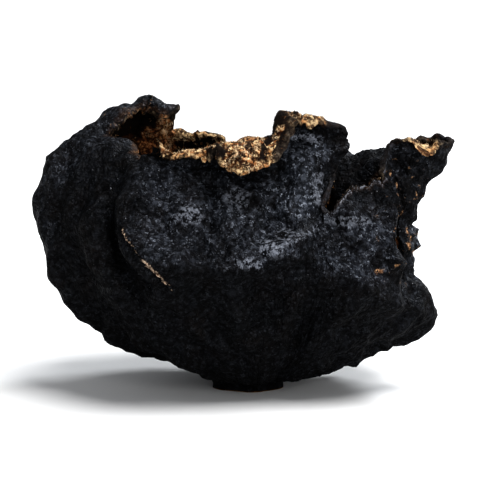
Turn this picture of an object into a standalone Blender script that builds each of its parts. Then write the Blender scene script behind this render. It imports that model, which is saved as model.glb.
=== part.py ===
"""Dried wood ear mushroom: one leathery sheet, cupped round the stub by which it grew.

The sheet is drawn as a ring of upright profiles. Between them it is a smooth surface, then it is crumpled, given a
wall that thins towards the margin, rounded at the margin, and cut off flat under the stub. The cut's centre is the
origin, +Z is up and the front, with its folded lobe, faces -Y.
"""
import bpy
import bmesh
import numpy as np

AROUND, ALONG = 96, 23   # facets round the stub, and from the stub to the margin
MM = 0.001

# ---- driving dimensions, mm ----
NECK_RADIUS = 5.2        # where the sheet leaves the stub
NECK_HEIGHT = 2.6        # height of the sheet's middle there
CUT_TAPER = 0.96         # the stub narrows this much down to its cut
WALL = 1.0               # thickness of the sheet
WALL_AT_STUB = 1.8       # what it gains at the stub
MARGIN_THIN = 0.7       # share of the wall left at the margin
SHIFT = (2.1, 0.4)       # puts the weight over the cut
VIEW_SIN, VIEW_COS = 0.174, 0.985   # the profiles are drawn as seen from 10 degrees above

# One profile of the sheet per line, going round the stub from the left wall over the front to the right, then round
# the back. Seven points (x, y, h) from low to the crest, h being the height in that view; then the roll of the margin
# in degrees (+ = inward) and the length that rolls.
PROFILES = [
 # left wall, front part
 ([(-11,-7,4),(-22,-11,10),(-29,-12.5,19),(-31.5,-11,28),(-30,-9,36),(-27,-7.5,40),(-24.5,-6,40.8)], 90, 4),
 ([(-9,-10,3.5),(-18,-15,9),(-24.5,-17,18),(-27,-15.5,27),(-26,-13,33.5),(-23.5,-11.5,36.8),(-21.5,-10.5,38)], 60, 2.5),
 # the crease: low side, high side
 ([(-7.5,-11,3),(-15,-16.5,8.5),(-20.3,-17,17.5),(-23.4,-15,27),(-22.7,-13.5,33.5),(-20.5,-12.5,36.8),(-18.7,-12,37.6)], 30, 2.5),
 ([(-6.5,-11.5,3),(-12.5,-16.1,8.7),(-17,-22.2,19.3),(-21.7,-21,28),(-20,-17,35),(-18,-14.3,38.5),(-16.7,-14.6,39.4)], -70, 3),
 # near rim of the funnel
 ([(-4.5,-12,2.8),(-8.5,-15.5,8.8),(-11.7,-23.5,19.7),(-14.5,-19.6,27),(-14.5,-16.5,34),(-13.8,-13.3,38.4),(-13.4,-15.2,38.7)], -95, 2.2),
 ([(-2.5,-12.3,2.8),(-4.5,-15.7,8.8),(-6.5,-23.7,20.4),(-8.5,-19.4,27.5),(-9.2,-16,34),(-9.4,-13,38.1),(-9.2,-15.1,38.2)], -95, 2.8),
 # lobe folded forward over the face
 ([(-1.5,-12.3,2.8),(-2.5,-15.7,8.8),(-3.5,-23.7,20.9),(-5,-19.3,27.5),(-5.8,-15.5,34.9),(-6.2,-13,39.8),(-6.4,-16.1,39.3)], -80, 5.0),
 ([(-0.5,-12.3,2.8),(-0.7,-15.7,8.8),(-1,-23.5,21.2),(-1.8,-18.8,27.5),(-2,-15,35.2),(-2.4,-12.7,41.0),(-2.7,-16.8,39.8)], -85, 7),
 ([(0.6,-12.3,2.8),(1.1,-15.7,8.8),(1.5,-23.2,21.7),(1,-18.5,28),(1,-14.5,35.8),(0.9,-12.2,40.6),(0.8,-15.5,39.7)], -75, 5.6),
 # curled tip
 ([(1.6,-12.2,2.8),(3,-15.6,8.8),(3.9,-22.9,22.2),(3.8,-18.3,29),(3.9,-14,37),(4.4,-10.8,42.9),(4.7,-12,45.1)], -175, 5.6),
 ([(2.6,-12,2.8),(4.6,-15.5,8.6),(6,-22.3,22.7),(6.3,-18.3,29.5),(6.8,-14,37),(7.6,-10.6,42.5),(8.1,-12,44.3)], -165, 4.6),
 # right edge of the panel, turned back
 ([(3.4,-11.8,2.8),(6,-15.5,8.5),(7.7,-21.8,21.6),(8,-17.8,27.5),(9.2,-13.9,35.1),(10.2,-11.2,39.4),(12.2,-9.9,41.3)], 20, 2.5),
 ([(4,-11.7,2.9),(7,-15.5,8.3),(8.8,-21.2,20.3),(8.8,-18,25),(9.1,-15.3,30.4),(10.2,-12.6,33.6),(12.2,-10.8,36.1)], 10, 2.5),
 ([(4.5,-11.5,3),(7.8,-15.5,8.2),(9.8,-21,18.2),(9.9,-18.9,22.6),(9.8,-17,26.4),(10.3,-15.6,28.8),(10.9,-15,31.2)], 0, 2),
 # bottom of the cleft
 ([(5,-11.3,3),(8.7,-15.7,8.2),(11,-20.5,17.2),(11.6,-19.9,20.2),(11.8,-18.7,23.2),(11.5,-17.8,26.0),(11.2,-17.1,28.2)], 0, 2),
 # right flap
 ([(5.8,-10.9,3),(9.9,-15.5,8.1),(13,-19.9,18),(14.1,-19.4,21.8),(14.4,-18.5,25.6),(14.3,-17.3,28.8),(14,-16.3,31.1)], 0, 2),
 ([(6.9,-10.2,3),(12.1,-14.3,7.9),(16.2,-18.7,17.7),(17.2,-17.9,22.5),(17.3,-16.4,27.0),(17,-14.8,30.6),(16.7,-13.6,33.0)], 0, 2),
 ([(8,-9.3,3.1),(14.5,-13.5,7.5),(20,-16.5,16.3),(21.2,-15.8,22.5),(21.2,-14.5,27.6),(20.7,-13,31.7),(20.2,-12,34.2)], 0, 2),
 # crevice
 ([(8.8,-8.2,3.2),(16,-11.5,7.5),(21.8,-12.4,15),(22.2,-10.6,22),(21.8,-9,29.5),(21.3,-7.4,35.8),(21.0,-6.8,39.2)], 20, 2),
 # horn
 ([(9.6,-6.8,3.3),(17.2,-9.5,7.5),(24.4,-9.6,13),(23.9,-9,22),(23.8,-8.2,29.6),(24.8,-7.2,35.6),(25.7,-6.8,38.2)], -150, 5.4),
 ([(10.5,-4,3.6),(18.8,-5,7.6),(26.6,-5,11.3),(24.0,-5,21),(24.5,-4,29.8),(28.3,-3.8,36.6),(30.1,-4.2,40.2)], 5, 2.8),
 ([(11,-1,4),(20,0,8),(27.2,1.5,12.5),(25.8,3,22),(25.6,3.5,30.5),(26.2,2.6,36.4),(25.6,0.4,38.6)], 110, 4),
 # back wall
 ([(10.5,3.5,4.6),(18.6,7,9.5),(23.6,10,16),(24.9,12.2,24.5),(23.2,11.4,32.5),(20.2,8,37.5),(18,3,37.5)], 130, 11),
 ([(8.5,7,5.2),(15,12.5,10.5),(19,16,17.5),(19.2,17,26),(17.2,15.3,33.5),(15,12.5,38),(13.5,7.5,38)], 130, 11),
 ([(5,9.5,5.5),(9,15.5,10.5),(11.8,20.4,18),(12,22.4,26.5),(10.8,20.5,34),(9.5,16,38.5),(9,12,38.5)], 90, 6),
 ([(0.5,10.5,5.6),(1.5,15.6,10),(2.5,18.6,16),(2.5,18.6,22.5),(2,17.2,28),(1.5,15.6,32),(1.5,14.6,33.5)], 60, 4),
 ([(-3.5,10,5.4),(-6,16,10),(-8,20.8,16.5),(-8.5,23.2,25),(-8.7,21.7,33),(-9.1,18,39.8),(-9.4,15,43.3)], 20, 3),
 ([(-5.5,9,5.2),(-9.5,15,10),(-12.5,19.2,17),(-13,20,26),(-13.2,18.6,34.5),(-14,16,39.6),(-14.6,13.8,41.8)], 20, 2.6),
 # hood
 ([(-7.5,8,5),(-13,13.5,9.5),(-17,17.3,17),(-18.3,18.4,27),(-18.2,14.3,37),(-17.5,8.5,44.8),(-17.3,4.8,47.4)], 185, 6.2),
 ([(-10,5,4.6),(-18,9,9),(-24.5,12,17.5),(-26,13,28),(-24.5,11.5,38),(-20.8,8.5,45.8),(-19.6,4.6,48.4)], 165, 5.5),
 ([(-11.5,1,4.4),(-21,3,8.5),(-30,5,17.5),(-32.6,5.5,28),(-31,5,37),(-26.6,3.5,43.8),(-24.8,0.8,46)], 140, 4.5),
 # left wall
 ([(-11.8,-3,4.3),(-22.5,-4.5,8.8),(-31.8,-4.5,18),(-35.4,-3.5,28),(-34.3,-3.5,36),(-31,-3.5,41.3),(-28,-4,42.4)], 120, 5),
]
# How far each profile stands out at mid height, as a share of its reach: the long folds of the sides and the back.
SWELL = [0.94, 1, 1, 1, 1, 1, 1, 1, 1, 1, 1, 1, 1, 1, 1, 1, 1, 1, 1, 1, 1.0, 0.90,
         1.05, 0.92, 0.92, 1.05, 0.91, 1.03, 0.93, 1.04, 0.90, 1.04]

# Folds of the near side as lines of (x, h) in that view, with how far each stands out (- = in) and its half width.
FOLDS = [
 ([(-21.6,24.7),(-15,21.2),(-8,20.2),(-1.8,20.3),(3.5,21.6),(7.1,22.1),(12.8,20.3),(20.3,15.5),(28.3,11.9)], 1.1, 1.5),
 ([(-19,33.5),(-21.8,29),(-21.6,25.1),(-17.8,20.8),(-14.1,17.2)], 0.9, 0.9),
 ([(-23.2,31),(-23.6,26),(-21,21.5),(-16.5,16.5)], -1.2, 1.1),
 ([(7.6,41),(6.6,36),(5.6,31.5),(4.4,27.8)], 0.7, 1.0),
 ([(0.4,21.8),(4.5,23.9),(8.5,25.5)], 0.8, 1.1),
 ([(8,29.5),(5,27.5),(2,26.8)], -0.8, 1.2),
 ([(-8,36),(-7,31),(-9,26)], -0.7, 1.6),
 ([(-2.5,35),(-0.5,30),(-2,25)], 0.6, 1.3),
 ([(2.8,37),(3,32),(1.8,29)], -0.7, 1.2),
 ([(-14,34),(-13,29),(-15,25)], 0.6, 1.4),
 ([(21.5,33),(20.5,25),(21.5,18),(19.5,13)], 0.9, 1.0),
 ([(23.6,32),(22.8,24),(23.7,17)], -1.2, 1.0),
 ([(-5,17),(-3.5,11),(-2,7)], 0.7, 1.2),
 ([(6,18),(5,12),(3.5,7)], 0.6, 1.2),
 ([(-14,15),(-9.5,10),(-5,7)], 0.7, 1.2),
 ([(16,16),(11,10.5),(7,7)], 0.8, 1.2),
]

# The same for the sides and the back: (way round in mm from the front over the right at 26 mm, z).
BACK_FOLDS = [
 ([(35.5,23.5),(36.5,28)], 1.3, 1.5),
 ([(42,9),(43,18),(41,27)], -1.2, 1.8),
 ([(50,7),(48,17),(51,27),(49,34)], 1.2, 2.0),
 ([(57,7),(56,18),(59,28)], -1.3, 1.8),
 ([(64,8),(66,18),(64,30)], 1.2, 2.0),
 ([(72,6),(73,16),(75,27)], -1.4, 1.8),
 ([(82,7),(80,16),(82,26)], 0.9, 2.0),
 ([(89,6),(91,17),(90,28),(93,38)], -1.4, 1.8),
 ([(98,7),(97,20),(100,34)], 1.2, 2.0),
 ([(105,8),(107,18),(104,30),(106,40)], -1.3, 1.8),
 ([(113,7),(112,20),(115,33),(113,42)], 1.2, 2.2),
 ([(121,7),(123,18),(121,31)], -1.3, 1.8),
 ([(129,9),(128,21),(131,34),(129,40)], 1.0, 2.0),
 ([(136,8),(138,17),(136,27)], -1.0, 1.6),
]


def smooth01(x):
    x = np.clip(x, 0, 1)
    return x * x * (3 - 2 * x)


def unit(v):
    return v / np.maximum(np.linalg.norm(v, axis=-1), 1e-9)[..., None]


def cubic_weights(u, n, ring):
    """Weights (len(u), n) of a smooth curve through n points numbered 0 to n - 1, closed if ring."""
    u = np.asarray(u, float)
    i = np.floor(u).astype(int)
    if not ring:
        i = np.clip(i, 0, n - 2)
    t = (u - i)[:, None]
    w = np.concatenate([-0.5*t**3 + t**2 - 0.5*t, 1.5*t**3 - 2.5*t**2 + 1, -1.5*t**3 + 2*t**2 + 0.5*t, 0.5*t**3 - 0.5*t**2], 1)
    M = np.zeros((len(u), n))
    rows = np.arange(len(u))
    for k in range(4):
        j = i + k - 1
        if ring:
            np.add.at(M, (rows, j % n), w[:, k])
            continue
        for end, step, out in ((0, 1, j < 0), (n - 1, -1, j > n - 1)):
            np.add.at(M, (rows[out], end), 2 * w[out, k])
            np.add.at(M, (rows[out], end + step), -w[out, k])
        ok = (j >= 0) & (j < n)
        np.add.at(M, (rows[ok], j[ok]), w[ok, k])
    return M


rng = np.random.RandomState(7)
PERM = np.tile(rng.permutation(256), 3)
GRAD = unit(rng.normal(size=(256, 3)))


def noise(p):
    """Smooth noise, about -0.6 to 0.6, at points p (..., 3)."""
    p = np.asarray(p, float)
    i = np.floor(p).astype(int)
    f = p - i
    w = f * f * f * (f * (f * 6 - 15) + 10)
    i = i & 255
    out = 0
    for dx in (0, 1):
        for dy in (0, 1):
            for dz in (0, 1):
                g = GRAD[PERM[PERM[PERM[(i[..., 0] + dx) & 255] + ((i[..., 1] + dy) & 255)] + ((i[..., 2] + dz) & 255)]]
                k = abs(1 - dx - w[..., 0]) * abs(1 - dy - w[..., 1]) * abs(1 - dz - w[..., 2])
                out = out + k * (g * (f - np.array([dx, dy, dz]))).sum(-1)
    return out


def normals(P):
    """Unit normals of a grid (around, along, 3); they point to the black outer side."""
    du = np.roll(P, -1, 0) - np.roll(P, 1, 0)
    dv = np.gradient(P, axis=1)
    return unit(np.cross(du, dv))


def lines(x, y, drawn, wob):
    """How far the drawn lines stand out at the points (x, y): sharp on the crest, soft on the flanks."""
    d = 0
    for line, height, width in drawn:
        a = np.array(line, float)
        best, along_ = np.full(x.shape, 1e9), np.zeros(x.shape)
        for k in range(len(a) - 1):
            ax, ay, bx, by = *a[k], *a[k + 1]
            ln2 = (bx - ax) ** 2 + (by - ay) ** 2
            t = np.clip(((x - ax) * (bx - ax) + (y - ay) * (by - ay)) / ln2, 0, 1)
            r = np.hypot(x - ax - t * (bx - ax), y - ay - t * (by - ay))
            near = r < best
            best, along_ = np.where(near, r, best), np.where(near, (k + t) / (len(a) - 1), along_)
        fade = smooth01(along_ / 0.2 + 0.25) * smooth01((1 - along_) / 0.2 + 0.25)
        d = d + height * fade * (1 + wob) * np.exp(-np.abs(best / width) ** 1.4)
    return d


def folds(P):
    """How far the drawn folds stand out at P."""
    x, h = P[..., 0] - SHIFT[0], P[..., 2] * VIEW_COS + (P[..., 1] - SHIFT[1]) * VIEW_SIN
    d = lines(x, h, FOLDS, 0.5 * noise(P / 4.0 + 33.0)) * smooth01((-2 - P[..., 1]) / 6)
    # the sides and the back: lengths round the body at 26 mm from its middle
    turn = np.arctan2(P[..., 0], -P[..., 1])
    turn = np.where(turn < 0, turn + 2 * np.pi, turn)
    wander = 1.6 * noise(P / 9.0 + 63.0)
    back = lines(26 * turn + wander, P[..., 2] + wander, BACK_FOLDS, 0.6 * noise(P / 6.0 + 73.0))
    return d + back * smooth01((P[..., 1] + 9) / 6 + (np.abs(P[..., 0]) > 24))


def crumple(P, s):
    """How far the dried sheet stands out from its drawn shape: broad dents between sharper ridges."""
    warp = P + 3.0 * np.stack([noise(P / 9 + k) for k in (31, 47, 59)], 2)
    ridges = 1 - 3.2 * np.abs(noise(warp / 11 + 12.3))
    small = 1 - 3.2 * np.abs(noise(warp / 5.5 + 21.9))
    d = 1.6 * noise(P / 13 + 1.3) + 1.15 * ridges + 0.7 * small + 0.25 * noise(P / 3 + 8.2) - 1.05
    # long folds run up the back and the left side, which the drawn profiles leave plain
    az = np.arctan2(P[..., 0], -P[..., 1])
    back = smooth01((np.abs(az + 0.35) - 1.0) / 0.7)
    long_ = 0.5 - 3 * np.abs(noise(np.stack([3.4 * np.sin(az), 3.4 * np.cos(az), s / 38], -1) + 5.5))
    d = d + back * smooth01((s - 10) / 16) * 2.2 * np.maximum(long_, -0.9)
    # pleats spread from the stub
    pleats = 1 - 3.4 * np.abs(noise(np.stack([2.3 * np.sin(az), 2.3 * np.cos(az), s / 26], -1) + 15.5))
    pleats = pleats * smooth01((s - 2) / 9) * (0.35 + 0.65 * smooth01((34 - s) / 16))
    # little of either beside the cleft, whose two sides almost touch
    h = P[..., 2] * VIEW_COS + P[..., 1] * VIEW_SIN
    gap = 1 - np.exp(-((P[..., 0] - SHIFT[0] - 11.5) / 5.0) ** 4 - ((h - 31) / 12) ** 4) * (P[..., 1] < -4)
    return d * smooth01(s / 18) * (0.7 + 0.3 * gap) + gap * (1.7 * folds(P) * smooth01(s / 8) + pleats)


def sheet(around, along):
    """The middle of the sheet as a grid (around, along, 3), the length along each profile, and those lengths."""
    n = len(PROFILES)
    pts = np.zeros((n, 8, 3))
    for i, (rows, _, _) in enumerate(PROFILES):
        a = np.array(rows, float)
        a[:, 2] = (a[:, 2] - VIEW_SIN * a[:, 1]) / VIEW_COS
        az = np.arctan2(a[0, 1], a[0, 0])
        reach = NECK_RADIUS * (1 + 0.10 * np.cos(2 * az + 0.4) + 0.05 * np.cos(5 * az + 1.0))
        pts[i, 0] = (reach * np.cos(az), reach * np.sin(az), NECK_HEIGHT)
        swell = 1 + (SWELL[i] - 1) * np.array([0.5, 0.9, 1, 1, 0.9, 0.6, 0.4])
        a[:, :2] *= swell[:, None]
        a[:, :2] += SHIFT
        pts[i, 1:] = a
    u = np.arange(around) / around * n
    Mu = cubic_weights(u, n, True)
    Mv = cubic_weights(np.linspace(0, 7, 71), 8, False)
    S = np.einsum("ai,bj,ijk->abk", Mu, Mv, pts)
    roll = np.radians(Mu @ np.array([p[1] for p in PROFILES], float))
    length = np.maximum(Mu @ np.array([p[2] for p in PROFILES], float), 1.0)
    # the margin rolls on from the profile's last direction
    T = unit(S[:, -1] - S[:, -4])
    N = normals(S)[:, -1]
    inward = -unit(N - (N * T).sum(1)[:, None] * T)
    k = 24
    x = (np.arange(k) + 0.5) / k
    phi = roll[:, None] * (0.55 * x + 0.45 * x * x)
    d = np.cos(phi)[..., None] * T[:, None] + np.sin(phi)[..., None] * inward[:, None]
    S = np.concatenate([S, S[:, -1:] + np.cumsum(d * (length / k)[:, None, None], 1)], 1)
    arc = np.concatenate([np.zeros((around, 1)), np.cumsum(np.linalg.norm(np.diff(S, axis=1), axis=2), 1)], 1)
    # the margin is ragged
    ang = u / n * 2 * np.pi
    ring = 30 * np.stack([np.cos(ang), np.sin(ang), 0 * ang], 1)
    L = np.minimum(arc[:, -1] - 1.2 + 1.4 * noise(ring / 4 + 3.1) + 0.9 * noise(ring / 1.9 + 9.7), arc[:, -1])
    t = 1 - (1 - np.linspace(0, 1, along)) ** 1.25
    s = t[None] * L[:, None]
    P = np.stack([np.stack([np.interp(s[i], arc[i], S[i, :, c]) for c in range(3)], 1) for i in range(around)], 0)
    P = P + normals(P) * crumple(P, s)[..., None]
    return P, s, L


def relax(P, passes):
    """Evens out kinks finer than the mesh, with the stub's ring and the margin kept."""
    for _ in range(passes):
        Q = 0.5 * P + 0.25 * (np.roll(P, 1, 0) + np.roll(P, -1, 0))
        Q[:, 1:-1] = 0.5 * Q[:, 1:-1] + 0.25 * (Q[:, 2:] + Q[:, :-2])
        Q[:, 0] = P[:, 0]
        P = Q
    return P


def soft_normals(P, passes=2):
    N = normals(P)
    for _ in range(passes):
        N = 0.5 * N + 0.25 * (np.roll(N, 1, 0) + np.roll(N, -1, 0))
        N[:, 1:-1] = 0.5 * N[:, 1:-1] + 0.25 * (N[:, 2:] + N[:, :-2])
        N = unit(N)
    # close to the stub every profile leans the same way
    mean = unit(P[:, :1] * [1, 1, 0]) * 0.45 + [0, 0, -1]
    N[:, :3] = unit(N[:, :3] * np.array([0, 0.4, 0.75])[None, :, None] + unit(mean) * np.array([1, 0.6, 0.25])[None, :, None])
    return N


def wall(s, L):
    w = (WALL + WALL_AT_STUB * np.exp(-s / 9)) * (MARGIN_THIN + (1 - MARGIN_THIN) * smooth01((L[:, None] - s) / 9))
    # drier and thinner where the cleft pulls it tight
    u = np.arange(len(s)) / len(s) * len(PROFILES)
    return w * (1 - 0.34 * np.exp(-((u - 12.2) / 1.0) ** 2) * smooth01((s - 15) / 10).T).T


def closed_sheet(around, along, rim=3):
    """Rings of the closed body, from the middle of the hollow over the margin and down to the cut."""
    P, s, L = sheet(around, along)
    P = relax(P, 1)
    N = soft_normals(P)
    half = wall(s, L)[..., None] / 2
    inner, outer = P - N * half, P + N * half
    T = unit(P[:, -1] - P[:, -2])
    rings = [inner[:, j] for j in range(along)]
    for k in range(1, rim + 1):
        a = np.pi * k / (rim + 1)
        rings.append(P[:, -1] - half[:, -1] * (N[:, -1] * np.cos(a) - T * 0.9 * np.sin(a)))
    rings += [outer[:, j] for j in range(along - 1, -1, -1)]
    cut = outer[:, 0] * [CUT_TAPER, CUT_TAPER, 0]
    waist = 0.5 * (outer[:, 0] + cut) * [0.97, 0.97, 1]
    return rings + [waist, cut], P, s, L


def build():
    for ob in list(bpy.data.objects):
        bpy.data.objects.remove(ob, do_unlink=True)

    rings, P, s, L = closed_sheet(AROUND, ALONG)
    bm = bmesh.new()
    loops = [[bm.verts.new(p * MM) for p in ring] for ring in rings]
    for low, high in zip(loops, loops[1:]):
        for i in range(AROUND):
            k = (i + 1) % AROUND
            bm.faces.new((low[i], high[i], high[k], low[k]))
    # the middle of the hollow, and the flat cut
    floor = bm.verts.new((rings[0].mean(0) - [0, 0, 0.2]) * MM)
    cut = bm.verts.new(np.array([0.9, 0.6, 0.0]) * MM)
    for i in range(AROUND):
        k = (i + 1) % AROUND
        bm.faces.new((floor, loops[0][i], loops[0][k]))
        bm.faces.new((cut, loops[-1][k], loops[-1][i]))
    bmesh.ops.triangulate(bm, faces=bm.faces[:], quad_method="SHORT_EDGE")
    mesh = bpy.data.meshes.new("wood_ear")
    bm.to_mesh(mesh)
    bm.free()
    mesh.shade_smooth()
    mesh.set_sharp_from_angle(angle=np.radians(50))

    skin = bpy.data.materials.new("wood_ear_skin")
    skin.use_nodes = True
    bsdf = skin.node_tree.nodes["Principled BSDF"]
    bsdf.inputs["Base Color"].default_value = (0.022, 0.024, 0.029, 1.0)
    bsdf.inputs["Roughness"].default_value = 0.62
    bsdf.inputs["Metallic"].default_value = 0.0
    mesh.materials.append(skin)

    ear = bpy.data.objects.new("wood_ear", mesh)
    bpy.context.scene.collection.objects.link(ear)


build()
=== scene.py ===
"""Looks of the dried wood ear mushroom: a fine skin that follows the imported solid, felt on the tan side, light and camera."""
import math

import bpy
import numpy as np
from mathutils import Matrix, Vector


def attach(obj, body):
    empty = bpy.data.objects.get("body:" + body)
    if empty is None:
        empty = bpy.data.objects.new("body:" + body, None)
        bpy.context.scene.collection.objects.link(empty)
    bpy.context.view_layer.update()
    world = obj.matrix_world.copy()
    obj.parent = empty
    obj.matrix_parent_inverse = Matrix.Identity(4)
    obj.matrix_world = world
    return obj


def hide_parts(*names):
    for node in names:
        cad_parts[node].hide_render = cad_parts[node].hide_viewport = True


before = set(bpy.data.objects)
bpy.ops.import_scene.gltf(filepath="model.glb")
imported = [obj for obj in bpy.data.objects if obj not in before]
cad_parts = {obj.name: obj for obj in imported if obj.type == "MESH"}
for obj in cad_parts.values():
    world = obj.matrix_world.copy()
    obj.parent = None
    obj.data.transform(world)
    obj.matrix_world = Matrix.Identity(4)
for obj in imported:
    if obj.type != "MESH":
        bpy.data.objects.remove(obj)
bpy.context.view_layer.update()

MM = 0.001
AROUND, ALONG = 720, 124      # grid of each skin: round the stub, from the stub to the margin
CAD_AROUND, CAD_ALONG = 96, 23

# ---- driving dimensions, mm ----
NECK_RADIUS = 5.2        # where the sheet leaves the stub
NECK_HEIGHT = 2.6        # height of the sheet's middle there
CUT_TAPER = 0.96         # the stub narrows this much down to its cut
WALL = 1.0               # thickness of the sheet
WALL_AT_STUB = 1.8       # what it gains at the stub
MARGIN_THIN = 0.7       # share of the wall left at the margin
SHIFT = (2.1, 0.4)       # puts the weight over the cut
VIEW_SIN, VIEW_COS = 0.174, 0.985   # the profiles are drawn as seen from 10 degrees above

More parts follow.
